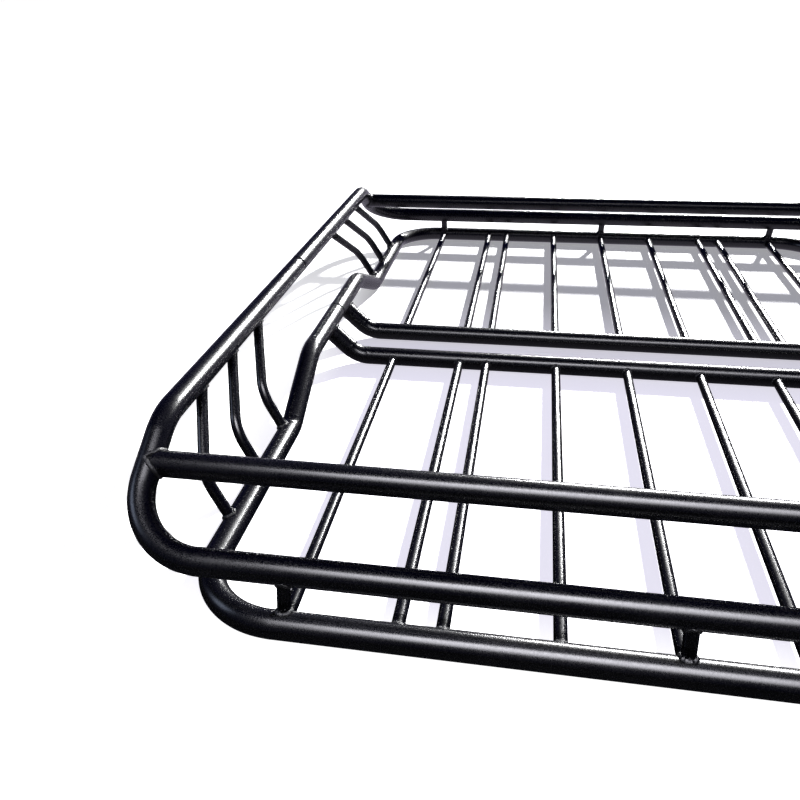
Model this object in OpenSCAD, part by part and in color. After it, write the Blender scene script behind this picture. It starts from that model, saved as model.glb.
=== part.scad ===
// Two-piece roof cargo basket. Millimetres. X across the car, +Y to the rear, +Z up.
// The origin is at mid-length, on the centre plane, level with the underside of the floor tubes.
// Every frame tube is a bent round tube, and the two halves mirror each other about the seam.

/* [Tube] */
// Outer diameter of the frame tubes
tube_d = 25.4; // [22:0.2:28]
// Wall of the frame tubes
tube_wall = 1.2; // [1:0.1:2]
// Outer diameter of the slats, posts and spindles
bar_d = 12; // [10:0.5:14]
// Wall of the slats, posts and spindles
bar_wall = 1; // [0.8:0.1:1.5]

/* [Floor] */
// Centre plane to the centre line of the floor side rails
floor_half_w = 418; // [400:1:450]
// Seam to the centre line of the floor end rails
half_l = 568; // [540:1:620]
// Bend radius of the floor corners
floor_corner_r = 80; // [60:1:84]
// Seam to the centre line of each cross tube
cross_y = 44; // [40:1:60]
// Centre plane to the corner where a cross tube turns up
cross_turn_x = 381; // [378:1:384]
// How far the end of a cross tube's centre line is under the centre of the raised rail
cross_under = 9; // [7:1:10]
// Bend radius where a cross tube turns up
cross_r = 40; // [34:1:42]

/* [Slats] */
// Centre plane to the first slat beside the middle one
inner_slat_x = 96; // [80:1:110]
// Centre plane to the middle of the close pair of slats
slat_pair_x = 212; // [200:1:230]
// Spacing of the close pair
slat_pair_gap = 38; // [30:1:50]
// Centre plane to the outermost slat
outer_slat_x = 327; // [310:1:328]

/* [Raised stretch] */
// Rise of the floor side rails beside the seam
raise_h = 48; // [46:1:54]
// How far the raised rails stand outside the floor side rails
raise_out = 4; // [0:1:6]
// Seam to the corner at the top of the rise
raise_top_y = 138; // [132:1:148]
// Seam to the corner at the foot of the rise
raise_foot_y = 252; // [245:1:256]
// Bend radius at the top of the rise
raise_top_r = 65; // [50:1:70]
// Bend radius at the foot of the rise
raise_foot_r = 40; // [35:1:45]

/* [Top loop] */
// Centre plane to the centre line of the top side rails
top_half_w = 476; // [455:1:500]
// Height of the top side rails above the floor tubes, centre to centre
top_h = 118; // [110:1:130]
// Seam to the corner where the top side rail turns down
drop_y = 436; // [430:1:440]
// Seam to the centre line of the mid end rail
mid_y = 550; // [545:1:556]
// Height of the mid end rail above the floor tubes, centre to centre
mid_h = 45; // [40:1:50]
// Bend radius where the top side rail turns down
drop_r = 65; // [50:1:70]
// Bend radius of the mid end rail's corners
mid_corner_r = 71; // [65:1:73]
// Seam to the centre line of the upper end rail
upper_y = 477; // [474:1:480]

/* [Spindles] */
// Seam to the top of the spindle nearest the seam
spindle_y = 174; // [170:1:178]
// Spacing of the spindles
spindle_pitch = 87; // [80:1:88]
// How far a spindle leans towards the end before it bends
spindle_lean = 89; // [80:1:92]
// How far its bend stands inside the top side rail
spindle_in = 30; // [20:1:36]
// Height of its bend above the floor tubes
spindle_bend_h = 51; // [46:1:58]
// How far its foot stands beyond its bend
spindle_foot = 7; // [4:1:8]
// Bend radius of a spindle
spindle_r = 45; // [35:1:48]

/* [Splices] */
// Length of a splice tube, half of it in each rail
splice_l = 130; // [120:2:140]
// Wall of a splice tube
splice_wall = 2; // [1.5:0.1:3]
// Radial clearance of a splice tube in the rails
splice_clear = 0.05; // [0.02:0.01:0.1]
// Gap between the rails at the seam
seam_gap = 1.2; // [1:0.1:1.6]
// Seam to the axis of each clamp screw
screw_y = 18; // [14:1:20]

/* [Fasteners] */
// Thread diameter of the clamp screws
screw_d = 5; // [4.5:0.5:6]
// Across flats of the screw head and the weld nut
hex_af = 8; // [8:0.5:10]
// Height of the weld nut
nut_h = 4; // [3.5:0.5:5]
// Height of the screw head
head_h = 3.5; // [3:0.5:5]
// Turn of each screw from straight down towards the outside
screw_tilt = 25; // [20:1:30]

/* [Hidden] */
$fn = 64;

FRONT = -1;
REAR = 1;
LEFT = -1;
MIDDLE = 0;
RIGHT = 1;
FLOOR = 0;
TOP = 1;

// Play left between a coped end and the tube it is welded to
weld_gap = 0.02;
// How far a straight reaches into the bend beside it
lap = 0.5;
// A bend is a little thinner than the straights beside it, as bending leaves it
bend_ratio = 0.984;
// How far a cut runs past the face it starts from
over = 1;

floor_z = tube_d / 2;
top_z = floor_z + top_h;
mid_z = floor_z + mid_h;
raised_x = floor_half_w + raise_out;
raised_z = floor_z + raise_h;
upper_z = top_z - (top_z - mid_z) * (upper_y - drop_y) / (mid_y - drop_y);
// A post leans inwards as it rises, and stops short of both centre lines so that each end is coped all round
post_foot_y = half_l - 2;
post_head_y = mid_y + 4.5;

splice_d = tube_d - 2 * tube_wall - 2 * splice_clear;
screw_hole_d = screw_d + 0.4;
nut_bore_d = screw_d + 0.06;
// The nut sits up against the round rail, and the screw tip just under the splice tube
nut_bite = 0.8;
tip_gap = 0.02;
// Thread left showing between the nut and the screw head
thread_show = 1;
flange_h = 1.2;
flange_d = hex_af * 1.35;

black = "#17181c";
zinc = "#b9bcc0";

// Slat 1 is at the left, slat 5 on the centre plane, slat 9 at the right
slat_steps = [0, inner_slat_x, slat_pair_x - slat_pair_gap / 2,
              slat_pair_x + slat_pair_gap / 2, outer_slat_x];
function slat_x(i) = sign(i - 5) * slat_steps[abs(i - 5)];

function unit(v) = v / norm(v);
function turn(a, b) = acos(max(-1, min(1, unit(a) * unit(b))));

// Length of straight that the bend at corner i uses up
function setback(pts, radii, i) = (i == 0 || i == len(pts) - 1) ? 0
    : radii[i] * tan(turn(pts[i] - pts[i - 1], pts[i + 1] - pts[i]) / 2);

// The same corners mirrored across the centre plane and run backwards
function mirrored(pts) = [for (i = [len(pts) - 1 : -1 : 0]) [-pts[i].x, pts[i].y, pts[i].z]];
function reversed(list) = [for (i = [len(list) - 1 : -1 : 0]) list[i]];

// Corners and bend radii of the front half's loops, from the left seam round to the right one
top_side = [[-top_half_w, -seam_gap / 2, top_z],
            [-top_half_w, -drop_y, top_z],
            [-top_half_w, -mid_y, mid_z]];
top_pts = concat(top_side, mirrored(top_side));
top_radii = [0, drop_r, mid_corner_r, mid_corner_r, drop_r, 0];

floor_side = [[-raised_x, -seam_gap / 2, raised_z],
              [-raised_x, -raise_top_y, raised_z],
              [-floor_half_w, -raise_foot_y, floor_z],
              [-floor_half_w, -half_l, floor_z]];
floor_pts = concat(floor_side, mirrored(floor_side));
floor_radii_side = [0, raise_top_r, raise_foot_r, floor_corner_r];
floor_radii = concat(floor_radii_side, reversed(floor_radii_side));

cross_side = [[-raised_x, -cross_y, raised_z - cross_under], [-cross_turn_x, -cross_y, floor_z]];
cross_pts = concat(cross_side, mirrored(cross_side));
cross_radii = [0, cross_r, cross_r, 0];

// Solid round bar from p to q
module rod(p, q, d) {
    v = q - p;
    translate(p)
        rotate([0, acos(v.z / norm(v)), atan2(v.y, v.x)])
            cylinder(d = d, h = norm(v));
}

// Solid bend round corner p, on the way from a to b
module elbow(a, p, b, r, d) {
    u = unit(p - a);
    w = unit(b - p);
    angle = turn(u, w);
    normal = unit(cross(u, w));
    start = p - u * r * tan(angle / 2);
    centre = start + unit(w - u * (u * w)) * r;
    out = unit(start - centre);
    multmatrix([[out.x, u.x, normal.x, centre.x],
                [out.y, u.y, normal.y, centre.y],
                [out.z, u.z, normal.z, centre.z],
                [0, 0, 0, 1]])
        rotate_extrude(angle = angle)
            translate([r, 0])
                circle(d = d);
}

// Solid bar along the corners pts, its two ends run on by reach
module run(pts, radii, d, reach = 0) {
    last = len(pts) - 1;
    for (i = [0 : last - 1]) {
        u = unit(pts[i + 1] - pts[i]);
        from = i == 0 ? -reach : setback(pts, radii, i) - lap;
        to = i == last - 1 ? -reach : setback(pts, radii, i + 1) - lap;
        rod(pts[i] + u * from, pts[i + 1] - u * to, d);
    }
    if (last > 1)
        for (i = [1 : last - 1])
            elbow(pts[i - 1], pts[i], pts[i + 1], radii[i], d * bend_ratio);
}

// Tube along the corners pts, open at both ends
module bent_tube(pts, radii, d, wall) {
    difference() {
        run(pts, radii, d);
        run(pts, radii, d - 2 * wall, over);
    }
}

module straight_tube(p, q, d, wall) {
    bent_tube([p, q], [0, 0], d, wall);
}

// What a frame tube takes out of the ends welded to it
module cope(p, q) {
    rod(p, q, tube_d + 2 * weld_gap);
}

// Everything is drawn for the front half, and the rear half mirrors it
module half(end) {
    mirror([0, end == REAR ? 1 : 0, 0]) children();
}

module side(s) {
    mirror([s == RIGHT ? 1 : 0, 0, 0]) children();
}

// Turns downwards into the direction of the clamp screws on side s
module screw_turn(s) {
    rotate([0, -s * screw_tilt, 0]) children();
}

// Clearance holes for the clamp screws, through the lower outer side of both rails of a half
module screw_holes(x, z) {
    for (s = [LEFT, RIGHT])
        translate([s * x, -screw_y, z])
            screw_turn(s)
                translate([0, 0, -tube_d])
                    cylinder(d = screw_hole_d, h = tube_d);
}

module top_loop(end) {
    color(black) half(end) difference() {
        bent_tube(top_pts, top_radii, tube_d, tube_wall);
        if (end == FRONT) screw_holes(top_half_w, top_z);
    }
}

module floor_loop(end) {
    color(black) half(end) difference() {
        bent_tube(floor_pts, floor_radii, tube_d, tube_wall);
        if (end == FRONT) screw_holes(raised_x, raised_z);
    }
}

module upper_end_rail(end) {
    color(black) half(end) difference() {
        straight_tube([-top_half_w, -upper_y, upper_z], [top_half_w, -upper_y, upper_z],
                      tube_d, tube_wall);
        for (s = [LEFT, RIGHT])
            cope([s * top_half_w, -drop_y, top_z], [s * top_half_w, -mid_y, mid_z]);
    }
}

module cross_tube(end) {
    color(black) half(end) difference() {
        bent_tube(cross_pts, cross_radii, tube_d, tube_wall);
        for (s = [LEFT, RIGHT])
            cope([s * raised_x, 0, raised_z], [s * raised_x, -raise_top_y, raised_z]);
    }
}

module slat(end, i) {
    x = slat_x(i);
    color(black) half(end) difference() {
        straight_tube([x, -half_l, floor_z], [x, -cross_y, floor_z], bar_d, bar_wall);
        for (y = [half_l, cross_y])
            cope([x - tube_d, -y, floor_z], [x + tube_d, -y, floor_z]);
    }
}

module post(end, s) {
    x = s * outer_slat_x;
    color(black) half(end) difference() {
        straight_tube([x, -post_foot_y, floor_z], [x, -post_head_y, mid_z], bar_d, bar_wall);
        cope([x - tube_d, -half_l, floor_z], [x + tube_d, -half_l, floor_z]);
        cope([x - tube_d, -mid_y, mid_z], [x + tube_d, -mid_y, mid_z]);
    }
}

// Spindle 1 is the one nearest the seam, spindle 3 the one nearest the end
module spindle(end, s, k) {
    y = -spindle_y - (k - 1) * spindle_pitch;
    bend_y = y - spindle_lean;
    pts = [[-top_half_w, y, top_z],
           [-top_half_w + spindle_in, bend_y, floor_z + spindle_bend_h],
           [-floor_half_w, bend_y - spindle_foot, floor_z]];
    color(black) half(end) side(s) difference() {
        bent_tube(pts, [0, spindle_r, 0], bar_d, bar_wall);
        cope([-top_half_w, y + tube_d, top_z], [-top_half_w, y - tube_d, top_z]);
        cope([-floor_half_w, bend_y + tube_d, floor_z], [-floor_half_w, bend_y - tube_d, floor_z]);
    }
}

function seam_x(level) = level == TOP ? top_half_w : raised_x;
function seam_z(level) = level == TOP ? top_z : raised_z;

module splice_tube(level, s) {
    x = s * seam_x(level);
    z = seam_z(level);
    color(zinc)
        straight_tube([x, -splice_l / 2, z], [x, splice_l / 2, z], splice_d, splice_wall);
}

// Puts its children on each clamp screw's axis: the origin at the rail's centre, the head towards -Z
module at_screws() {
    for (level = [FLOOR, TOP])
        for (s = [LEFT, RIGHT])
            translate([s * seam_x(level), -screw_y, seam_z(level)])
                screw_turn(s) children();
}

nut_top = nut_bite - tube_d / 2;

module weld_nuts() {
    color(black) at_screws() difference() {
        translate([0, 0, nut_top - nut_h])
            cylinder(d = hex_af / cos(30), h = nut_h, $fn = 6);
        cope([0, -tube_d, 0], [0, tube_d, 0]);
        translate([0, 0, -2 * tube_d])
            cylinder(d = nut_bore_d, h = 2 * tube_d);
    }
}

module clamp_screws() {
    tip = -splice_d / 2 - tip_gap;
    shoulder = nut_top - nut_h - thread_show;
    color(zinc) at_screws() {
        translate([0, 0, shoulder - flange_h / 2])
            cylinder(d = screw_d, h = tip - shoulder + flange_h / 2);
        translate([0, 0, shoulder - flange_h])
            cylinder(d = flange_d, h = flange_h);
        translate([0, 0, shoulder - head_h])
            cylinder(d = hex_af / cos(30), h = head_h - flange_h / 2, $fn = 6);
    }
}

top_loop(FRONT);  // front_top_loop
upper_end_rail(FRONT);  // front_upper_end_rail
floor_loop(FRONT);  // front_floor_loop
cross_tube(FRONT);  // front_cross_tube
slat(FRONT, 1);  // front_slat_1
slat(FRONT, 2);  // front_slat_2
slat(FRONT, 3);  // front_slat_3
slat(FRONT, 4);  // front_slat_4
slat(FRONT, 5);  // front_slat_5
slat(FRONT, 6);  // front_slat_6
slat(FRONT, 7);  // front_slat_7
slat(FRONT, 8);  // front_slat_8
slat(FRONT, 9);  // front_slat_9
post(FRONT, LEFT);  // front_post_left
post(FRONT, MIDDLE);  // front_post_centre
post(FRONT, RIGHT);  // front_post_right
spindle(FRONT, LEFT, 1);  // front_spindle_left_1
spindle(FRONT, LEFT, 2);  // front_spindle_left_2
spindle(FRONT, LEFT, 3);  // front_spindle_left_3
spindle(FRONT, RIGHT, 1);  // front_spindle_right_1
spindle(FRONT, RIGHT, 2);  // front_spindle_right_2
spindle(FRONT, RIGHT, 3);  // front_spindle_right_3
top_loop(REAR);  // rear_top_loop
upper_end_rail(REAR);  // rear_upper_end_rail
floor_loop(REAR);  // rear_floor_loop
cross_tube(REAR);  // rear_cross_tube
slat(REAR, 1);  // rear_slat_1
slat(REAR, 2);  // rear_slat_2
slat(REAR, 3);  // rear_slat_3
slat(REAR, 4);  // rear_slat_4
slat(REAR, 5);  // rear_slat_5
slat(REAR, 6);  // rear_slat_6
slat(REAR, 7);  // rear_slat_7
slat(REAR, 8);  // rear_slat_8
slat(REAR, 9);  // rear_slat_9
post(REAR, LEFT);  // rear_post_left
post(REAR, MIDDLE);  // rear_post_centre
post(REAR, RIGHT);  // rear_post_right
spindle(REAR, LEFT, 1);  // rear_spindle_left_1
spindle(REAR, LEFT, 2);  // rear_spindle_left_2
spindle(REAR, LEFT, 3);  // rear_spindle_left_3
spindle(REAR, RIGHT, 1);  // rear_spindle_right_1
spindle(REAR, RIGHT, 2);  // rear_spindle_right_2
spindle(REAR, RIGHT, 3);  // rear_spindle_right_3
splice_tube(TOP, LEFT);  // splice_tube_top_left
splice_tube(TOP, RIGHT);  // splice_tube_top_right
splice_tube(FLOOR, LEFT);  // splice_tube_floor_left
splice_tube(FLOOR, RIGHT);  // splice_tube_floor_right
weld_nuts();
clamp_screws();
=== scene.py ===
import math

import bpy
import numpy as np
from mathutils import Matrix, Vector


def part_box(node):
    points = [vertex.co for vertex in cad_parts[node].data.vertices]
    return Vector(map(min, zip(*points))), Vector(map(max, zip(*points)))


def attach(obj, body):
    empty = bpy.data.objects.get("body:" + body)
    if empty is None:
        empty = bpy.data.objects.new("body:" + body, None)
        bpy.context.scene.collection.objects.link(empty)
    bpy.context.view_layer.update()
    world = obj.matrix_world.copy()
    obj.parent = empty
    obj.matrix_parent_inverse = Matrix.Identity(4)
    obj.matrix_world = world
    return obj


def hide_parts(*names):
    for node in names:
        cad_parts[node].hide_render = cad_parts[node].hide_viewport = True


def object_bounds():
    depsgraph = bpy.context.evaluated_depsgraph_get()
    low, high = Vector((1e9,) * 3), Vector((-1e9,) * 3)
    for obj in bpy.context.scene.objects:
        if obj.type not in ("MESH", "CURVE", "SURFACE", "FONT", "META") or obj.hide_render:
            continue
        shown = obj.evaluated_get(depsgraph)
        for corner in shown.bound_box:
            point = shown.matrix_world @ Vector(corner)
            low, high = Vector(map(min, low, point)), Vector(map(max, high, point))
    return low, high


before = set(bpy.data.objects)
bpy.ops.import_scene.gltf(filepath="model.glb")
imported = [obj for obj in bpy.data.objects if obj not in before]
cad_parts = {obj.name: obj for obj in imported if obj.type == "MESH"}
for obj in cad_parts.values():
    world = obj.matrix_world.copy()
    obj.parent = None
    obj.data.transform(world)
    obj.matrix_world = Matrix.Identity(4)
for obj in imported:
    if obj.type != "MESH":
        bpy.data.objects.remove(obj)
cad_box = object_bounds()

# ---------------------------------------------------------------- measurements, in metres

TUBE_WALL = 0.0012
DROP_Y = 0.436
DROP_R = 0.065
MID_CORNER_R = 0.071
RAISE_OUT = 0.004
RAISE_TOP_Y = 0.138
RAISE_TOP_R = 0.065
RAISE_FOOT_Y = 0.252
RAISE_FOOT_R = 0.040
FLOOR_CORNER_R = 0.080
CROSS_TURN_X = 0.381
CROSS_UNDER = 0.009
CROSS_R = 0.040
SPINDLE_Y = 0.174
SPINDLE_PITCH = 0.087
SPINDLE_LEAN = 0.089
SPINDLE_IN = 0.030
SPINDLE_BEND_H = 0.051
SPINDLE_FOOT = 0.007
SPINDLE_R = 0.045
SPLICE_WALL = 0.002
SCREW_R = 0.0025
SCREW_TILT = math.radians(25)
HEX_R = 0.004
NUT_H = 0.004
NUT_BITE = 0.0008
THREAD_SHOW = 0.001
HEAD_H = 0.0035
FLANGE_H = 0.0012
FLANGE_R = 0.0054
THREAD_PITCH = 0.0008
THREAD_DEPTH = 0.0005
TIP_GAP = 0.00004
BORE_GAP = 0.00003
POST_FOOT_IN = 0.002
POST_HEAD_OUT = 0.0045

ENDS = {"front": -1, "rear": 1}
SIDES = {"left": -1, "right": 1}


def middle(node):
    lo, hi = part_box(node)
    return (lo + hi) / 2


lo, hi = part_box("front_upper_end_rail")
TUBE_R = (hi.z - lo.z) / 2
UPPER_Y, UPPER_Z = -middle("front_upper_end_rail").y, middle("front_upper_end_rail").z
lo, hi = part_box("front_slat_5")
BAR_R = (hi.x - lo.x) / 2
FLOOR_Z = middle("front_slat_5").z
lo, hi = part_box("front_top_loop")
TOP_X, TOP_Z = hi.x - TUBE_R, hi.z - TUBE_R
MID_Y, MID_Z = -lo.y - TUBE_R, lo.z + TUBE_R
SEAM_Y = -hi.y
lo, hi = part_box("front_floor_loop")
RAISED_X, END_Y = hi.x - TUBE_R, -lo.y - TUBE_R
FLOOR_X = RAISED_X - RAISE_OUT
RAISED_Z = hi.z - TUBE_R
CROSS_Y = -middle("front_cross_tube").y
POST_FOOT_Y = END_Y - POST_FOOT_IN
POST_HEAD_Y = MID_Y + POST_HEAD_OUT
SCREW_Y = middle("clamp_screws").y
lo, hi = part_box("splice_tube_top_left")
SPLICE_R = (hi.z - lo.z) / 2


# ---------------------------------------------------------------- mesh helpers

def vec(*p):
    return np.array(p, float)


def unit(v):
    return v / np.linalg.norm(v)


def smooth(a, b, x):
    t = np.clip((x - a) / (b - a), 0, 1)
    return t * t * (3 - 2 * t)


class Shell:
    """Vertices and faces of one piece, gathered from closed grids of rings."""

    def __init__(self):
        self.verts, self.faces, self.count = [], [], 0

    def rings(self, rows, wrap=False):
        """rows is (rings, points round, 3). A wrapped grid closes on itself, any other gets two caps."""
        n, m = rows.shape[:2]
        base = self.count
        self.verts.append(rows.reshape(-1, 3))
        self.count += n * m
        i = np.arange(n if wrap else n - 1)[:, None]
        j = np.arange(m)[None, :]
        k, l = (i + 1) % n, (j + 1) % m
        quads = np.stack([i * m + j, i * m + l, k * m + l, k * m + j], -1).reshape(-1, 4)
        self.faces += (quads + base).tolist()
        if wrap:
            return
        for row, first, flip in ((rows[0], base, True), (rows[-1], base + (n - 1) * m, False)):
            self.verts.append(row.mean(0)[None])
            hub = self.count
            self.count += 1
            for a in range(m):
                b = (a + 1) % m
                pair = (first + b, first + a) if flip else (first + a, first + b)
                self.faces.append([hub, *pair])

    def make(self, name, material, sharp=50):
        mesh = bpy.data.meshes.new(name)
        mesh.from_pydata(np.concatenate(self.verts).tolist(), [], self.faces)
        mesh.update()
        mesh.shade_smooth()
        mesh.set_sharp_from_angle(angle=math.radians(sharp))
        mesh.materials.append(material)
        obj = bpy.data.objects.new(name, mesh)
        bpy.context.scene.collection.objects.link(obj)
        return obj


class Bend:
    """A bend on a centre line: where it starts and ends along it, and its radius."""

    def __init__(self, start, end, radius):
        self.start, self.end, self.radius = start, end, radius


ARC_STEP = 0.0020
STRAIGHT_PARTS = 8
END_MARKS = (0.0, 0.0006, 0.0012, 0.0024, 0.0036, 0.005, 0.007, 0.010, 0.016)


def centre_line(corners, radii):
    """Points, tangents, distances and inward directions along rounded corners, and the bends."""
    corners = [np.array(c, float) for c in corners]
    pts, tans, dist, inward, bends = [], [], [], [], []
    travelled = 0.0
    here = corners[0]
    last = len(corners) - 1

    def straight(a, b, s, m_from, m_to):
        length = np.linalg.norm(b - a)
        if length < 1e-9:
            return
        u = (b - a) / length
        near = [x for x in END_MARKS if x < length / 2]
        marks = {round(x, 7) for x in near}
        marks |= {round(length - x, 7) for x in near}
        marks |= {round(length * k / STRAIGHT_PARTS, 7) for k in range(1, STRAIGHT_PARTS)}
        for x in sorted(marks):
            pts.append(a + u * x)
            tans.append(u)
            dist.append(s + x)
            if m_from is None and m_to is None:
                inward.append(np.zeros(3))
            elif m_to is None or (m_from is not None and x < length / 2):
                inward.append(m_from)
            else:
                inward.append(m_to)

    def corner(i):
        u, w = unit(corners[i] - corners[i - 1]), unit(corners[i + 1] - corners[i])
        angle = math.acos(np.clip(u @ w, -1, 1))
        back = radii[i] * math.tan(angle / 2)
        return u, w, angle, back

    m_from = None
    for i in range(1, last + 1):
        if i < last:
            u, w, angle, back = corner(i)
            start = corners[i] - u * back
            toward = unit(w - u * (u @ w))
            straight(here, start, travelled, m_from, toward)
            travelled += np.linalg.norm(start - here)
            hub = start + toward * radii[i]
            arc = radii[i] * angle
            n = max(8, int(math.ceil(arc / ARC_STEP)))
            for k in range(1, n):
                a = angle * k / n
                pts.append(hub - toward * radii[i] * math.cos(a) + u * radii[i] * math.sin(a))
                tans.append(u * math.cos(a) + toward * math.sin(a))
                inward.append(toward * math.cos(a) - u * math.sin(a))
                dist.append(travelled + arc * k / n)
            bends.append(Bend(travelled, travelled + arc, radii[i]))
            travelled += arc
            here = corners[i] + w * back
            m_from = unit(toward * math.cos(angle) - u * math.sin(angle))
        else:
            straight(here, corners[i], travelled, m_from, None)
            travelled += np.linalg.norm(corners[i] - here)
    return np.array(pts), np.array(tans), np.array(dist), np.array(inward), bends


def frames(pts, tans, first):
    """Two directions square to the line at each point, carried along without twist."""
    n = unit(first - tans[0] * (first @ tans[0]))
    out = [n]
    for a, b in zip(tans[:-1], tans[1:]):
        axis = np.cross(a, b)
        s = np.linalg.norm(axis)
        if s > 1e-9:
            q = Matrix.Rotation(math.atan2(s, a @ b), 3, Vector(axis))
            n = np.array(q @ Vector(n))
        n = unit(n - b * (n @ b))
        out.append(n)
    out = np.array(out)
    return out, np.cross(tans, out)


class Meet:
    """Where a bar ends on a round rail: a point on the rail's axis, its direction and radius."""

    def __init__(self, point, axis, radius, stop=None):
        self.point, self.axis, self.radius, self.stop = vec(*point), unit(vec(*axis)), radius, stop

    def travel(self, q, d, radius=None):
        """How far from q along d the rail's surface is, on the side that d points to."""
        radius = radius or self.radius
        w = q - self.point
        w = w - np.outer(w @ self.axis, self.axis)
        e = d - self.axis * (d @ self.axis)
        a, b, c = e @ e, w @ e, (w * w).sum(1) - radius ** 2
        t = (-b + np.sqrt(np.maximum(b * b - a * c, 0))) / a
        return t if self.stop is None else np.maximum(t, self.stop)

    def normal(self, p):
        w = p - self.point
        w = w - np.outer(w @ self.axis, self.axis)
        return w / np.linalg.norm(w, axis=1)[:, None]


BITE = 0.0005
END_REACH = 0.012
CAP_SHARES = (0.08, 0.4, 0.72)
FLATTENING = 0.022
FLATTEN_RAMP = 0.008
WRINKLE_WIDTH = 0.0022
WRINKLE_HOLLOW = 0.35
LOOP_WRINKLE = 0.0003
CROSS_WRINKLE = 0.0006
# how much the rim of an open end is rounded off: (distance from the end, amount)
SEAM_ROUND = ((0.0, 0.0011), (0.0006, 0.0007), (0.0012, 0.0004), (0.0024, 0.00014), (0.0036, 0.00003),
              (0.005, 0.0))


def tube(shell, corners, radii, radius, around, first=(0, 0, 1), wall=None, meets=(None, None),
         pucker=0.0):
    """A bent tube. With a wall it is hollow and open at both ends, with rounded rims.

    Without one, each end takes the shape of the round rail that it meets.
    """
    pts, tans, dist, inward, bends = centre_line(corners, radii)
    n, b = frames(pts, tans, vec(*first))
    theta = np.arange(around) * 2 * math.pi / around
    out = n[:, None] * np.cos(theta)[None, :, None] + b[:, None] * np.sin(theta)[None, :, None]
    inner = np.einsum("ijk,ik->ij", out, inward)
    r = np.full(inner.shape, radius)
    for bend in bends:
        w = smooth(0, FLATTEN_RAMP, dist - bend.start) * smooth(0, FLATTEN_RAMP, bend.end - dist)
        r -= radius * FLATTENING * w[:, None] * inner ** 2
        if pucker and bend.radius < MID_CORNER_R:
            length = bend.end - bend.start
            side = smooth(0.45, 0.95, inner)
            for at in (bend.start, bend.end):
                fold = np.exp(-((dist - at) / WRINKLE_WIDTH) ** 2)
                r += pucker * fold[:, None] * side
            hollow = np.sin(np.clip((dist - bend.start) / length, 0, 1) * math.pi) ** 2
            r -= WRINKLE_HOLLOW * pucker * hollow[:, None] * side
    if wall:
        ends = np.minimum(dist, dist[-1] - dist)
        rim = np.interp(ends, [x for x, _ in SEAM_ROUND], [y for _, y in SEAM_ROUND])
        outer = pts[:, None] + out * (r - rim[:, None])[..., None]
        bore = pts[:, None] + out * (r - wall)[..., None]
        shell.rings(np.concatenate([outer, bore[::-1]]), wrap=True)
        return
    rows = pts[:, None] + out * r[..., None]
    caps = [[], []]
    for meet, row, d in ((meets[0], 0, tans[0]), (meets[1], -1, -tans[-1])):
        if meet is None:
            continue
        for share in CAP_SHARES:
            inside = pts[row] + (rows[row] - pts[row]) * share
            caps[row].append(inside + d * meet.travel(inside, d, meet.radius - BITE)[:, None])
        reach = dist if row == 0 else dist[-1] - dist
        start = rows[row]
        t = meet.travel(start, d, meet.radius - BITE)
        for s in np.nonzero(reach < END_REACH)[0]:
            rows[s] = start + d * (t * (1 - reach[s] / END_REACH) + reach[s])[:, None]
    shell.rings(np.array([*caps[0], *rows, *caps[1][::-1]]))


rng = np.random.RandomState(20)


def lumps(theta, strength, first, last):
    """A closed bumpy curve round an angle."""
    total = np.zeros_like(theta)
    for k in range(first, last):
        height = rng.uniform(-1, 1)
        total += height * np.sin(k * theta + rng.uniform(0, 2 * math.pi)) / math.sqrt(last - first)
    return strength * total


BALL_AROUND = 8
BALL_RINGS = 6


def ball(shell, centre, radius):
    theta = np.arange(BALL_AROUND) * 2 * math.pi / BALL_AROUND
    rows = []
    for k in range(1, BALL_RINGS):
        a = math.pi * k / BALL_RINGS
        ring = np.stack([np.cos(theta) * math.sin(a), np.sin(theta) * math.sin(a),
                         np.full(BALL_AROUND, -math.cos(a))], -1)
        rows.append(centre + ring * radius)
    shell.rings(np.array(rows))


BEAD_STEP = 0.0006
BEAD_STEPS_MIN = 48
BEAD_AROUND = 12
RIPPLE_PITCH = 0.0021
RIPPLES_MIN = 10
# shares of a bead's size
RIPPLE = 0.10
LIFT, OFF_RAIL = 0.36, 0.24
WIDE, HIGH = 1.10, 0.58
WANDER, UNEVEN_WIDE, UNEVEN_HIGH = 0.24, 0.34, 0.26
SPATTER_AWAY = (0.0018, 0.0055)
SPATTER_R = (0.00025, 0.0006)
SPATTER_REACH = 0.008

# the size of each joint's bead, and how many grains of spatter lie beside it
BEADS = {
    "upper_rail": (0.0018, 6),
    "cross_tube": (0.0017, 5),
    "slat_at_end_rail": (0.0014, 2),
    "slat_at_cross_tube": (0.0014, 1),
    "post_foot": (0.0019, 6),
    "post_head": (0.0013, 2),
    "spindle_head": (0.0013, 2),
    "spindle_foot": (0.0016, 5),
    "nut": (0.0010, 1),
}


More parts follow.
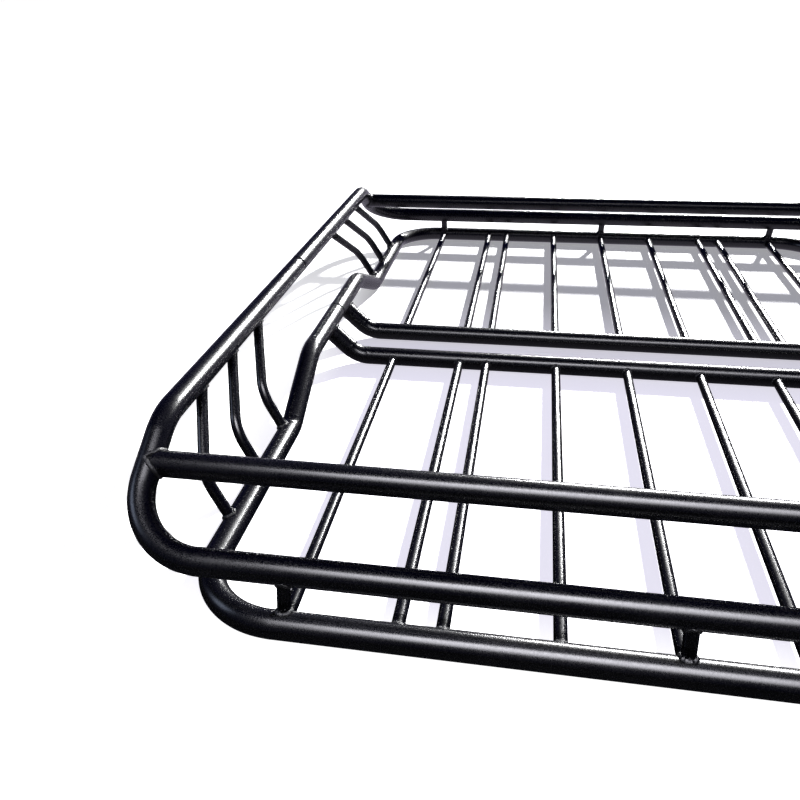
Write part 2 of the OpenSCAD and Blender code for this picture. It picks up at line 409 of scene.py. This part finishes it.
def bead(shell, point, d, radius, meet, joint):
    """A weld bead along the line where a bar of this radius leaves a rail, with a little spatter."""
    size, spatter = BEADS[joint]
    d = unit(vec(*d))
    point = vec(*point)
    e = unit(meet.axis - d * (meet.axis @ d))
    f = np.cross(d, e)
    steps = max(BEAD_STEPS_MIN, int(radius * 2 * math.pi / BEAD_STEP) // 8 * 8)
    theta = np.arange(steps) * 2 * math.pi / steps
    out = np.outer(np.cos(theta), e) + np.outer(np.sin(theta), f)
    q = point + out * radius
    t = meet.travel(q, d)
    line = q + t[:, None] * d
    rail = meet.normal(line)
    rise = out + rail
    rise = rise / np.maximum(np.linalg.norm(rise, axis=1), 1e-6)[:, None]
    line = line + (rise * LIFT + rail * OFF_RAIL) * size
    line = line + rise * lumps(theta, size * WANDER, 3, 12)[:, None]
    tan = np.roll(line, -1, 0) - np.roll(line, 1, 0)
    tan /= np.linalg.norm(tan, axis=1)[:, None]
    u = rise - tan * (rise * tan).sum(1)[:, None]
    u /= np.linalg.norm(u, axis=1)[:, None]
    v = np.cross(tan, u)
    ripples = max(RIPPLES_MIN, int(radius * 2 * math.pi / RIPPLE_PITCH))
    ripple = RIPPLE * np.abs(np.sin(ripples * theta / 2 + rng.uniform(0, 3)))
    wide = size * (WIDE + ripple + lumps(theta, UNEVEN_WIDE, 2, 16))
    high = size * (HIGH + ripple + lumps(theta, UNEVEN_HIGH, 3, 20))
    phi = np.arange(BEAD_AROUND) * 2 * math.pi / BEAD_AROUND
    rows = (line[:, None] + u[:, None] * (np.cos(phi)[None] * high[:, None])[..., None]
            + v[:, None] * (np.sin(phi)[None] * wide[:, None])[..., None])
    shell.rings(rows, wrap=True)
    for _ in range(spatter):
        k = rng.randint(steps)
        away = rng.uniform(*SPATTER_AWAY)
        grain = rng.uniform(*SPATTER_R)
        if rng.rand() < 0.5:
            ball(shell, q[k] + d * (t[k] + away), grain)
        else:
            p = (line[k] + v[k] * away * rng.choice([-1, 1]))[None]
            foot = p - meet.point
            on = meet.point + meet.axis * (foot[0] @ meet.axis) + meet.normal(p)[0] * meet.radius
            if np.linalg.norm(on - line[k]) < SPATTER_REACH:
                ball(shell, on, grain)


# ---------------------------------------------------------------- materials

def nodes_of(name):
    mat = bpy.data.materials.new(name)
    mat.use_nodes = True
    tree = mat.node_tree
    bsdf = next(n for n in tree.nodes if n.type == "BSDF_PRINCIPLED")
    where = tree.nodes.new("ShaderNodeTexCoord").outputs["Object"]
    return mat, tree, bsdf, where


def noise_node(tree, where, scale, detail=2.0, rough=0.5, stretch=None):
    if stretch:
        mapping = tree.nodes.new("ShaderNodeMapping")
        mapping.inputs["Scale"].default_value = stretch
        tree.links.new(where, mapping.inputs["Vector"])
        where = mapping.outputs["Vector"]
    node = tree.nodes.new("ShaderNodeTexNoise")
    node.inputs["Scale"].default_value = scale
    node.inputs["Detail"].default_value = detail
    node.inputs["Roughness"].default_value = rough
    tree.links.new(where, node.inputs["Vector"])
    return node.outputs["Fac"]


def span(tree, value, lo_in, hi_in, lo_out, hi_out):
    node = tree.nodes.new("ShaderNodeMapRange")
    for key, x in zip(("From Min", "From Max", "To Min", "To Max"), (lo_in, hi_in, lo_out, hi_out)):
        node.inputs[key].default_value = x
    tree.links.new(value, node.inputs["Value"])
    return node.outputs["Result"]


def maths(tree, kind, a, b):
    node = tree.nodes.new("ShaderNodeMath")
    node.operation = kind
    for i, x in enumerate((a, b)):
        if isinstance(x, (int, float)):
            node.inputs[i].default_value = x
        else:
            tree.links.new(x, node.inputs[i])
    return node.outputs[0]


def blend_colour(tree, factor, a, b):
    node = tree.nodes.new("ShaderNodeMix")
    node.data_type = "RGBA"
    tree.links.new(factor, node.inputs["Factor"])
    for socket, x in ((node.inputs[6], a), (node.inputs[7], b)):
        if isinstance(x, tuple):
            socket.default_value = (*x, 1)
        else:
            tree.links.new(x, socket)
    return node.outputs[2]


def bump(tree, height, depth, strength=1.0, below=None):
    node = tree.nodes.new("ShaderNodeBump")
    node.inputs["Distance"].default_value = depth
    node.inputs["Strength"].default_value = strength
    tree.links.new(height, node.inputs["Height"])
    if below is not None:
        tree.links.new(below, node.inputs["Normal"])
    return node.outputs["Normal"]


COAT_DARK, COAT_PALE = (0.0004, 0.0005, 0.0018), (0.0009, 0.0009, 0.0028)
COAT_SPECK, COAT_DUST = (0.05, 0.05, 0.06), (0.11, 0.11, 0.13)
COAT_IOR = 1.5
FINE_DEPTH, GRAIN_DEPTH = 0.000012, 0.000016


def powder_coat():
    mat, tree, bsdf, where = nodes_of("powder_coat_black")
    patch = span(tree, noise_node(tree, where, 9, 4, 0.6), 0.35, 0.65, 0, 1)
    grain = noise_node(tree, where, 620, 1, 0.5)
    fine = noise_node(tree, where, 1100, 1, 0.5)
    speck = span(tree, noise_node(tree, where, 1500, 1, 0.5), 0.62, 0.72, 0, 1)
    colour = blend_colour(tree, patch, COAT_DARK, COAT_PALE)
    colour = blend_colour(tree, maths(tree, "MULTIPLY", speck, 0.04), colour, COAT_SPECK)
    geometry = tree.nodes.new("ShaderNodeNewGeometry")
    split = tree.nodes.new("ShaderNodeSeparateXYZ")
    tree.links.new(geometry.outputs["Normal"], split.inputs[0])
    dust = span(tree, noise_node(tree, where, 55, 5, 0.7), 0.5, 0.75, 0, 1)
    dust = maths(tree, "MULTIPLY", dust, span(tree, split.outputs["Z"], 0.5, 1, 0, 0.010))
    colour = blend_colour(tree, dust, colour, COAT_DUST)
    tree.links.new(colour, bsdf.inputs["Base Color"])
    rough = span(tree, grain, 0.3, 0.7, 0.23, 0.30)
    rough = maths(tree, "ADD", rough, span(tree, patch, 0, 1, -0.02, 0.03))
    tree.links.new(rough, bsdf.inputs["Roughness"])
    bsdf.inputs["IOR"].default_value = COAT_IOR
    normal = bump(tree, fine, FINE_DEPTH)
    tree.links.new(bump(tree, grain, GRAIN_DEPTH, 1.0, normal), bsdf.inputs["Normal"])
    return mat


def weld_metal():
    mat, tree, bsdf, where = nodes_of("weld_under_coat")
    pits = noise_node(tree, where, 900, 4, 0.7)
    fleck = span(tree, noise_node(tree, where, 720, 3, 0.6), 0.60, 0.70, 0, 1)
    colour = blend_colour(tree, fleck, (0.002, 0.002, 0.003), (0.08, 0.08, 0.09))
    tree.links.new(colour, bsdf.inputs["Base Color"])
    tree.links.new(span(tree, fleck, 0, 1, 0.46, 0.36), bsdf.inputs["Roughness"])
    tree.links.new(span(tree, fleck, 0, 1, 0, 0.35), bsdf.inputs["Metallic"])
    wave = noise_node(tree, where, 330, 3, 0.6)
    normal = bump(tree, wave, 0.0006, 0.8)
    tree.links.new(bump(tree, pits, 0.0003, 0.9, normal), bsdf.inputs["Normal"])
    return mat


def zinc_plate(name, dark, pale):
    mat, tree, bsdf, where = nodes_of(name)
    drawn = noise_node(tree, where, 60, 4, 0.6, (14, 0.35, 14))
    cloud = noise_node(tree, where, 45, 3, 0.6)
    colour = blend_colour(tree, cloud, dark, pale)
    tree.links.new(colour, bsdf.inputs["Base Color"])
    bsdf.inputs["Metallic"].default_value = 1.0
    tree.links.new(span(tree, drawn, 0.3, 0.7, 0.26, 0.42), bsdf.inputs["Roughness"])
    tree.links.new(bump(tree, drawn, 0.00006, 0.7), bsdf.inputs["Normal"])
    return mat


# painted light: the glow that the floor gives off, which sets how dark a shadow on it is: under the
# basket and beside it
PAINTED_GLOW_UNDER_NEAR, PAINTED_GLOW_UNDER_FAR = (0.79, 0.77, 0.87), (0.33, 0.33, 0.34)
PAINTED_GLOW_BESIDE_NEAR, PAINTED_GLOW_BESIDE_FAR = (1.0, 1.0, 0.99), (0.66, 0.66, 0.66)
PAINTED_GLOW_IN_FRONT = (1.1, 1.1, 1.1)
# painted reflection: the colour of the floor's glow that only reflections see
PAINTED_SHEEN = (0.62, 0.58, 0.72)


def floor_sheet():
    """Pale paper with painted light. Its own glow keeps the shadows faint at the near end and grey
    beyond the seam, and a glow that only reflections see paints a sheen on the tubes.
    """
    mat, tree, bsdf, where = nodes_of("pale_floor")
    cloud = noise_node(tree, where, 2.2, 4, 0.55)
    colour = blend_colour(tree, cloud, (0.80, 0.80, 0.81), (0.86, 0.86, 0.86))
    tree.links.new(colour, bsdf.inputs["Base Color"])
    bsdf.inputs["Roughness"].default_value = 0.9
    bsdf.inputs["Specular IOR Level"].default_value = 0.0
    fibre = noise_node(tree, where, 420, 3, 0.6)
    tree.links.new(bump(tree, fibre, 0.0003, 0.2), bsdf.inputs["Normal"])
    split = tree.nodes.new("ShaderNodeSeparateXYZ")
    tree.links.new(where, split.inputs[0])
    x, y = split.outputs["X"], split.outputs["Y"]
    under = blend_colour(tree, span(tree, y, -0.10, 0.22, 0, 1), PAINTED_GLOW_UNDER_NEAR, PAINTED_GLOW_UNDER_FAR)
    beside = blend_colour(tree, span(tree, y, -0.05, 0.35, 0, 1), PAINTED_GLOW_BESIDE_NEAR, PAINTED_GLOW_BESIDE_FAR)
    # painted light: the floor's glow, blended from the zones under, beside and in front of the basket
    glow = blend_colour(tree, span(tree, x, -0.47, -0.40, 1, 0), under, beside)
    glow = blend_colour(tree, span(tree, y, -0.56, -0.50, 1, 0), glow, PAINTED_GLOW_IN_FRONT)
    tree.links.new(glow, bsdf.inputs["Emission Color"])
    bsdf.inputs["Emission Strength"].default_value = 1.0
    # painted reflection: glossy rays see the floor as a lavender glow, stronger towards the far end,
    # which paints a sheen on the tubes
    reflection_glow = tree.nodes.new("ShaderNodeEmission")
    reflection_glow.inputs["Color"].default_value = (*PAINTED_SHEEN, 1)
    tree.links.new(span(tree, y, -0.15, 0.5, 0.0, 0.9), reflection_glow.inputs["Strength"])
    path = tree.nodes.new("ShaderNodeLightPath")
    pick = tree.nodes.new("ShaderNodeMixShader")
    tree.links.new(path.outputs["Is Glossy Ray"], pick.inputs["Fac"])
    tree.links.new(bsdf.outputs[0], pick.inputs[1])
    tree.links.new(reflection_glow.outputs[0], pick.inputs[2])
    out = next(n for n in tree.nodes if n.type == "OUTPUT_MATERIAL")
    tree.links.new(pick.outputs[0], out.inputs["Surface"])
    return mat


COAT, WELD = powder_coat(), weld_metal()
ZINC = zinc_plate("zinc_plated_steel", (0.42, 0.43, 0.45), (0.60, 0.60, 0.60))
# painted shade: the splice zinc is darkened to near black so the gaps at the seams read dark
SHADE_DARKENED_ZINC = zinc_plate("zinc_darkened_as_seam_shade", (0.006, 0.006, 0.007), (0.015, 0.015, 0.016))


# ---------------------------------------------------------------- the frame tubes and their welds

def finish_piece(shell, name, body, material, stands_for=()):
    obj = shell.make(name, material)
    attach(obj, body)
    if stands_for:
        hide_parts(*stands_for)
    return obj


MAIN_AROUND = 64
BAR_AROUND = 32


def mirrored(points):
    return points + [(-x, y, z) for x, y, z in reversed(points)]


def build_half(end, s):
    body = end + "_half"

    def piece(node, *args, **kwargs):
        shell = Shell()
        tube(shell, *args, **kwargs)
        finish_piece(shell, f"{end}_{node}_tube", body, COAT, [f"{end}_{node}"])

    seam = s * SEAM_Y
    top = mirrored([(-TOP_X, seam, TOP_Z), (-TOP_X, s * DROP_Y, TOP_Z), (-TOP_X, s * MID_Y, MID_Z)])
    piece("top_loop", top, [0, DROP_R, MID_CORNER_R, MID_CORNER_R, DROP_R, 0], TUBE_R, MAIN_AROUND,
          wall=TUBE_WALL, pucker=LOOP_WRINKLE)
    low = mirrored([(-RAISED_X, seam, RAISED_Z), (-RAISED_X, s * RAISE_TOP_Y, RAISED_Z),
                    (-FLOOR_X, s * RAISE_FOOT_Y, FLOOR_Z), (-FLOOR_X, s * END_Y, FLOOR_Z)])
    radii = [0, RAISE_TOP_R, RAISE_FOOT_R, FLOOR_CORNER_R]
    piece("floor_loop", low, radii + radii[::-1], TUBE_R, MAIN_AROUND, wall=TUBE_WALL,
          pucker=LOOP_WRINKLE)

    welds = {name: Shell() for name in ("rail", "slat", "post", "spindle")}

    legs = [Meet((x * TOP_X, s * DROP_Y, TOP_Z), (0, s * (MID_Y - DROP_Y), MID_Z - TOP_Z), TUBE_R)
            for x in (-1, 1)]
    ends = [(-TOP_X, s * UPPER_Y, UPPER_Z), (TOP_X, s * UPPER_Y, UPPER_Z)]
    piece("upper_end_rail", ends, [0, 0], TUBE_R, MAIN_AROUND, meets=legs)
    for x, leg in zip((-1, 1), legs):
        bead(welds["rail"], (x * TOP_X, s * UPPER_Y, UPPER_Z), (-x, 0, 0), TUBE_R, leg, "upper_rail")

    cross_end_z = RAISED_Z - CROSS_UNDER
    cross = mirrored([(-RAISED_X, s * CROSS_Y, cross_end_z), (-CROSS_TURN_X, s * CROSS_Y, FLOOR_Z)])
    sides = [Meet((x * RAISED_X, 0, RAISED_Z), (0, 1, 0), TUBE_R, stop=0) for x in (-1, 1)]
    piece("cross_tube", cross, [0, CROSS_R, CROSS_R, 0], TUBE_R, MAIN_AROUND, meets=sides,
          pucker=CROSS_WRINKLE)
    for x, rail in zip((-1, 1), sides):
        away = (-x * (RAISED_X - CROSS_TURN_X), 0, FLOOR_Z - cross_end_z)
        bead(welds["rail"], (x * RAISED_X, s * CROSS_Y, cross_end_z), away, TUBE_R, rail, "cross_tube")

    end_rail = Meet((0, s * END_Y, FLOOR_Z), (1, 0, 0), TUBE_R)
    cross_rail = Meet((0, s * CROSS_Y, FLOOR_Z), (1, 0, 0), TUBE_R)
    for i in range(1, 10):
        x = middle(f"{end}_slat_{i}").x
        line = [(x, s * END_Y, FLOOR_Z), (x, s * CROSS_Y, FLOOR_Z)]
        piece(f"slat_{i}", line, [0, 0], BAR_R, BAR_AROUND, meets=(end_rail, cross_rail))
        bead(welds["slat"], line[0], (0, -s, 0), BAR_R, end_rail, "slat_at_end_rail")
        bead(welds["slat"], line[1], (0, s, 0), BAR_R, cross_rail, "slat_at_cross_tube")

    mid_rail = Meet((0, s * MID_Y, MID_Z), (1, 0, 0), TUBE_R)
    for where in ("left", "centre", "right"):
        x = middle(f"{end}_post_{where}").x
        foot = vec(x, s * POST_FOOT_Y, FLOOR_Z)
        head = vec(x, s * POST_HEAD_Y, MID_Z)
        piece(f"post_{where}", [foot, head], [0, 0], BAR_R, BAR_AROUND, first=(0, 1, 0),
              meets=(end_rail, mid_rail))
        bead(welds["post"], foot, head - foot, BAR_R, end_rail, "post_foot")
        bead(welds["post"], head, foot - head, BAR_R, mid_rail, "post_head")

    for side, x in SIDES.items():
        top_rail = Meet((x * TOP_X, 0, TOP_Z), (0, 1, 0), TUBE_R)
        low_rail = Meet((x * FLOOR_X, 0, FLOOR_Z), (0, 1, 0), TUBE_R)
        for k in (1, 2, 3):
            y = SPINDLE_Y + (k - 1) * SPINDLE_PITCH
            head = vec(x * TOP_X, s * y, TOP_Z)
            knee = vec(x * (TOP_X - SPINDLE_IN), s * (y + SPINDLE_LEAN), FLOOR_Z + SPINDLE_BEND_H)
            foot = vec(x * FLOOR_X, s * (y + SPINDLE_LEAN + SPINDLE_FOOT), FLOOR_Z)
            piece(f"spindle_{side}_{k}", [head, knee, foot], [0, SPINDLE_R, 0], BAR_R, BAR_AROUND,
                  first=(0, 1, 0), meets=(top_rail, low_rail))
            bead(welds["spindle"], head, knee - head, BAR_R, top_rail, "spindle_head")
            bead(welds["spindle"], foot, knee - foot, BAR_R, low_rail, "spindle_foot")

    for name, shell in welds.items():
        finish_piece(shell, f"{end}_{name}_welds", body, WELD)


for end, s in ENDS.items():
    build_half(end, s)


# ---------------------------------------------------------------- splices, nuts and screws

seams = {("top", side): (x * TOP_X, TOP_Z) for side, x in SIDES.items()}
seams.update({("floor", side): (x * RAISED_X, RAISED_Z) for side, x in SIDES.items()})

for (level, side), (x, z) in seams.items():
    node = f"splice_tube_{level}_{side}"
    lo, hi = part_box(node)
    shell = Shell()
    tube(shell, [(x, lo.y, z), (x, hi.y, z)], [0, 0], SPLICE_R, MAIN_AROUND, wall=SPLICE_WALL)
    # the splices take the zinc darkened as painted seam shade
    finish_piece(shell, f"splice_{level}_{side}", "rear_half", SHADE_DARKENED_ZINC, [node])


TURNED_AROUND = 72
TURNS_PER_PITCH = 14


def turned(shell, centre, away, rows, wrap=False):
    """Rings round the line from centre along away.

    Each row is (distance along the line, radius, hexagonal or not, threaded or not).
    """
    theta = np.arange(TURNED_AROUND) * 2 * math.pi / TURNED_AROUND
    hexagon = HEX_R / np.cos(np.mod(theta, math.pi / 3) - math.pi / 6)
    e = np.cross(vec(0, 1, 0), away)
    out = []
    for along, radius, hexed, threaded in rows:
        r = np.full(TURNED_AROUND, radius)
        if hexed:
            r = np.minimum(r, hexagon)
        if threaded:
            turn = np.mod(along / THREAD_PITCH - theta / (2 * math.pi), 1)
            r = r - THREAD_DEPTH * np.abs(2 * turn - 1)
        out.append(centre + along * away + np.outer(r * np.cos(theta), e)
                   + np.outer(r * np.sin(theta), (0, 1, 0)))
    shell.rings(np.array(out), wrap)


nuts, screws, nut_welds = Shell(), Shell(), Shell()
nut_near = TUBE_R - NUT_BITE
nut_far = nut_near + NUT_H
shoulder = nut_far + THREAD_SHOW
head_end = shoulder + HEAD_H
tip = SPLICE_R + TIP_GAP
corner = HEX_R / math.cos(math.pi / 6)
bore = SCREW_R + BORE_GAP
# rings as (distance along the screw's line, radius, hexagonal or not, threaded or not)
nut_rings = [
    (nut_far, bore + 0.0003, 0, 0),
    (nut_far, HEX_R - 0.0003, 0, 0),
    (nut_far - 0.0005, corner - 0.0002, 1, 0),
    (nut_far - 0.0008, corner, 1, 0),
    (nut_near + 0.0002, corner, 1, 0),
    (nut_near, corner - 0.0002, 1, 0),
    (nut_near, bore, 0, 0),
    (nut_far - 0.0004, bore, 0, 0),
]
screw_rings = [
    (head_end - 0.0004, HEX_R * 0.6, 0, 0),
    (head_end - 0.0003, HEX_R * 0.7, 0, 0),
    (head_end, HEX_R * 0.8, 0, 0),
    (head_end - 0.0001, HEX_R * 0.92, 0, 0),
    (head_end - 0.0006, corner - 0.0002, 1, 0),
    (head_end - 0.0010, corner, 1, 0),
    (shoulder + FLANGE_H, corner, 1, 0),
    (shoulder + FLANGE_H - 0.0002, corner, 0, 0),
    (shoulder + 0.0005, FLANGE_R - 0.0001, 0, 0),
    (shoulder + 0.0002, FLANGE_R, 0, 0),
    (shoulder, FLANGE_R - 0.0002, 0, 0),
    (shoulder, SCREW_R, 0, 0),
]
threaded = np.arange(shoulder - 0.0001, tip + 0.0006, -THREAD_PITCH / TURNS_PER_PITCH)
screw_rings += [(along, SCREW_R, 0, 1) for along in threaded]
screw_rings += [(tip + 0.0005, SCREW_R * 0.8, 0, 0), (tip, SCREW_R * 0.65, 0, 0)]
for x, z in seams.values():
    at = vec(x, SCREW_Y, z)
    away = vec(math.copysign(math.sin(SCREW_TILT), x), 0, -math.cos(SCREW_TILT))
    turned(nuts, at, away, nut_rings, wrap=True)
    turned(screws, at, away, screw_rings)
    rail = Meet((x, 0, z), (0, 1, 0), TUBE_R)
    bead(nut_welds, at, away, corner, rail, "nut")
finish_piece(nuts, "weld_nut_set", "front_half", COAT, ["weld_nuts"])
finish_piece(nut_welds, "weld_nut_beads", "front_half", WELD)
finish_piece(screws, "clamp_screw_set", "front_half", ZINC, ["clamp_screws"])


# ---------------------------------------------------------------- floor, light and camera

FLOOR_REACH = 60.0
FLOOR_GAP = 0.0002
floor_corners = [(x * FLOOR_REACH, y * FLOOR_REACH, 0) for x, y in ((-1, -1), (1, -1), (1, 1), (-1, 1))]
floor_mesh = bpy.data.meshes.new("floor_sheet")
floor_mesh.from_pydata(floor_corners, [], [(0, 1, 2, 3)])
floor = bpy.data.objects.new("floor_sheet", floor_mesh)
floor_mesh.materials.append(floor_sheet())
floor.location.z = cad_box[0].z - FLOOR_GAP
bpy.context.scene.collection.objects.link(floor)

centre = (cad_box[0] + cad_box[1]) / 2


def aim(obj, target):
    obj.rotation_euler = (Vector(target) - obj.location).to_track_quat("-Z", "Y").to_euler()


def light(name, kind, place, power, colour, size, size_y=None, shape="RECTANGLE", target=centre,
          roll=0.0, spread=180, diffuse=True, glossy=True):
    data = bpy.data.lights.new(name, kind)
    data.energy = power
    data.color = colour
    if kind == "SUN":
        data.angle = math.radians(size)
    else:
        data.shape = shape
        data.size, data.size_y = size, size_y
        data.spread = math.radians(spread)
    obj = bpy.data.objects.new(name, data)
    obj.location = place
    bpy.context.scene.collection.objects.link(obj)
    aim(obj, target)
    obj.rotation_euler.rotate_axis("Z", roll)
    obj.visible_camera = False
    obj.visible_diffuse = diffuse
    obj.visible_glossy = glossy
    return obj


def direction(azimuth, elevation, distance):
    """A place seen from the basket's middle: azimuth from +Y towards +X, elevation above the floor."""
    a, e = math.radians(azimuth), math.radians(elevation)
    flat = math.cos(e)
    return centre + distance * Vector((math.sin(a) * flat, math.cos(a) * flat, math.sin(e)))


WHITE = (1.0, 1.0, 1.0)
light("key", "SUN", direction(24, 27, 3), power=14.0, colour=WHITE, size=3.0, glossy=False)
light("softbox", "AREA", (1.41, 4.82, 2.39), power=960.0, colour=WHITE, size=3.4, size_y=0.3,
      shape="ELLIPSE", roll=math.radians(-8), diffuse=False)
light("overhead", "AREA", (0.15, -1.2, 1.1), power=13.5, colour=(0.94, 0.93, 1.0), size=1.6,
      size_y=0.85, target=(0.1, -0.75, 0), spread=66, diffuse=False)
light("left_fill", "AREA", (-2.3, -0.9, 1.1), power=7.0, colour=(0.66, 0.76, 1.0), size=0.7,
      size_y=0.9, diffuse=False)

DIM_SURROUND = (0.002, 0.003, 0.050)
world = bpy.data.worlds.new("studio")
bpy.context.scene.world = world
world.use_nodes = True
tree = world.node_tree
background = next(n for n in tree.nodes if n.type == "BACKGROUND")
path = tree.nodes.new("ShaderNodeLightPath")
seen = blend_colour(tree, path.outputs["Is Camera Ray"], DIM_SURROUND, WHITE)
tree.links.new(seen, background.inputs["Color"])
background.inputs["Strength"].default_value = 1.0

bpy.context.scene.view_settings.view_transform = "Standard"

CAMERA_PLACE = Vector((-0.1405, -0.9947, 0.4846))
CAMERA_YAW, CAMERA_PITCH, CAMERA_ROLL = math.radians(-10.70), math.radians(29.35), math.radians(1.58)
CAMERA_LENS = 33.2

cam = bpy.data.cameras.new("camera")
cam.sensor_width = 36.0
cam.lens = CAMERA_LENS
cam.clip_start, cam.clip_end = 0.01, 200
camera = bpy.data.objects.new("camera", cam)
forward = Vector((math.sin(CAMERA_YAW) * math.cos(CAMERA_PITCH),
                  math.cos(CAMERA_YAW) * math.cos(CAMERA_PITCH), -math.sin(CAMERA_PITCH)))
level = Vector((math.cos(CAMERA_YAW), -math.sin(CAMERA_YAW), 0))
down = forward.cross(level)
right = level * math.cos(CAMERA_ROLL) + down * math.sin(CAMERA_ROLL)
down = down * math.cos(CAMERA_ROLL) - level * math.sin(CAMERA_ROLL)
turn = Matrix((right, -down, -forward)).transposed()
camera.matrix_world = Matrix.Translation(CAMERA_PLACE) @ turn.to_4x4()
bpy.context.scene.collection.objects.link(camera)
bpy.context.scene.camera = camera
